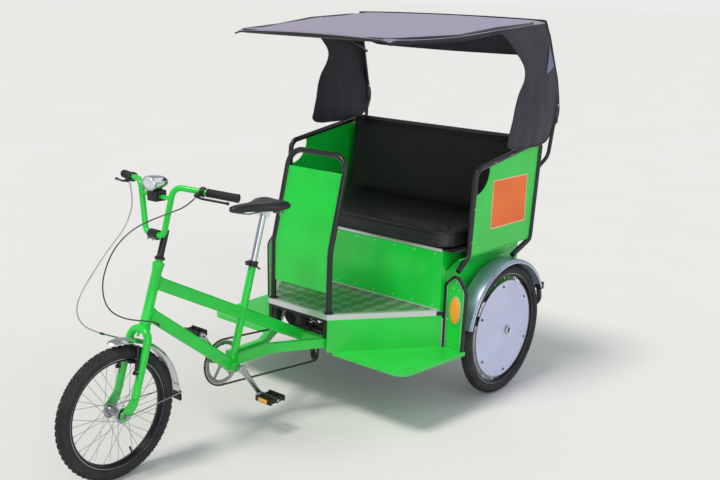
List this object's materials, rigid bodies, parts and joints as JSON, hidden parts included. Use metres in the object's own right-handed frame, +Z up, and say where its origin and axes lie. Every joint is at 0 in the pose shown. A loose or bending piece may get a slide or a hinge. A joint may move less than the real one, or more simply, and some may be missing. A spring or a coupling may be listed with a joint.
{
  "type": "cycle rickshaw",
  "caption": "Pedal-driven tricycle taxi: bicycle front with a steered wheel, a hooded two-seat cab with side steps on a driven rear axle, spoked wheels, chain drive.",
  "frame": {"origin": "middle of the whole vehicle, on the ground", "axes": "+X forwards, +Y to the vehicle's left, +Z up"},
  "size_m": [2.4809, 1.216, 1.705],
  "materials": {
    "green_enamel": "glossy powder coat",
    "black_tube": "satin powder coat",
    "black_steel": "worn satin black",
    "tyre_rubber": "moulded rubber",
    "rim_and_spokes": "black anodised rim with steel spokes",
    "cover_paint": "pale satin paint",
    "fender_silver": "metallic silver blue",
    "polished_fender": "polished",
    "tread_plate": "five-bar tread plate",
    "edge_trim": "mill finish",
    "sign_orange": "matt, blank",
    "vinyl": "coated cloth, foam filled",
    "hood_cloth": "woven coated cloth",
    "amber_lens": "ribbed reflector",
    "red_lens": "ribbed reflector",
    "black_plastic": "moulded",
    "clear_lens": "ribbed lens",
    "steel_parts": "plated",
    "chain_steel": "oiled",
    "saddle_skin": "smooth vinyl",
    "cable_cover": "smooth vinyl cover",
    "grip_rubber": "ribbed"
  },
  "bodies": {
    "frame": {"head_tube": "green_enamel", "top_tube_front": "green_enamel", "top_tube_rear": "green_enamel", "down_tube": "green_enamel", "seat_tube": "green_enamel", "seat_post": "steel_parts", "saddle": "saddle_skin", "rear_brake_cable": "cable_cover", "lower_rails": "green_enamel", "deck_frame": "black_steel", "floor_deck": "tread_plate", "floor_trim": "edge_trim", "shield_loop": "black_tube", "shield_panel": "green_enamel", "steps": "green_enamel", "corner_panels": "green_enamel", "corner_hoops": "black_tube", "corner_reflectors": "amber_lens", "side_frames": "black_tube", "side_panels": "green_enamel", "sign_plates": "sign_orange", "seat_box": "green_enamel", "seat_board": "black_steel", "seat_cushion": "vinyl", "backrest": "vinyl", "backrest_rail": "black_tube", "back_panel": "green_enamel", "rear_fenders": "fender_silver", "rear_bumper": "black_tube", "rear_reflectors": "red_lens", "canopy": "hood_cloth", "rear_bow": "black_tube", "roof_bow": "black_tube", "jackshaft": "black_steel", "chain_tensioner": "black_steel", "front_chain": "chain_steel", "rear_chain": "chain_steel", "rear_axle_housing": "black_steel"},
    "steering": {"fork": "green_enamel", "front_brake": "black_plastic", "stem": "black_tube", "handlebar": "green_enamel", "grips": "grip_rubber", "brake_levers": "black_plastic", "headlamp": "black_plastic", "lamp_lens": "clear_lens", "front_fender": "polished_fender", "front_brake_cable": "cable_cover"},
    "front_wheel": {"front_tyre": "tyre_rubber", "front_wheel_laced": "rim_and_spokes"},
    "rear_wheel_left": {"rear_tyre_left": "tyre_rubber", "rear_wheel_laced_left": "rim_and_spokes", "wheel_cover_left": "cover_paint"},
    "rear_wheel_right": {"rear_tyre_right": "tyre_rubber", "rear_wheel_laced_right": "rim_and_spokes", "wheel_cover_right": "cover_paint"},
    "crankset": {"crank_set": "steel_parts"},
    "pedal_left": {"pedal_left": "black_plastic"},
    "pedal_right": {"pedal_right": "black_plastic"}
  },
  "joints": [
    {"name": "steering_turn", "type": "hinge", "parent": "frame", "child": "steering", "pos_m": [0.81131, 0, 0.67917], "axis": [-0.2924, 0, 0.9563], "range_deg": [-50, 50], "deforming": ["rear_brake_cable"]},
    {"name": "front_wheel_spin", "type": "hinge", "parent": "steering", "child": "front_wheel", "pos_m": [0.98325, 0, 0.257], "axis": [0, 1, 0], "continuous": true},
    {"name": "rear_wheel_left_spin", "type": "hinge", "parent": "frame", "child": "rear_wheel_left", "pos_m": [-0.76175, 0.56, 0.3075], "axis": [0, 1, 0], "continuous": true},
    {"name": "rear_wheel_right_spin", "type": "hinge", "parent": "frame", "child": "rear_wheel_right", "pos_m": [-0.76175, -0.56, 0.3075], "axis": [0, 1, 0], "continuous": true},
    {"name": "crank_spin", "type": "hinge", "parent": "frame", "child": "crankset", "pos_m": [0.40825, 0, 0.288], "axis": [0, 1, 0], "continuous": true},
    {"name": "pedal_left_spin", "type": "hinge", "parent": "crankset", "child": "pedal_left", "pos_m": [0.31127, 0.13, 0.15451], "axis": [0, 1, 0], "continuous": true},
    {"name": "pedal_right_spin", "type": "hinge", "parent": "crankset", "child": "pedal_right", "pos_m": [0.50523, -0.13, 0.42149], "axis": [0, 1, 0], "continuous": true}
  ]
}
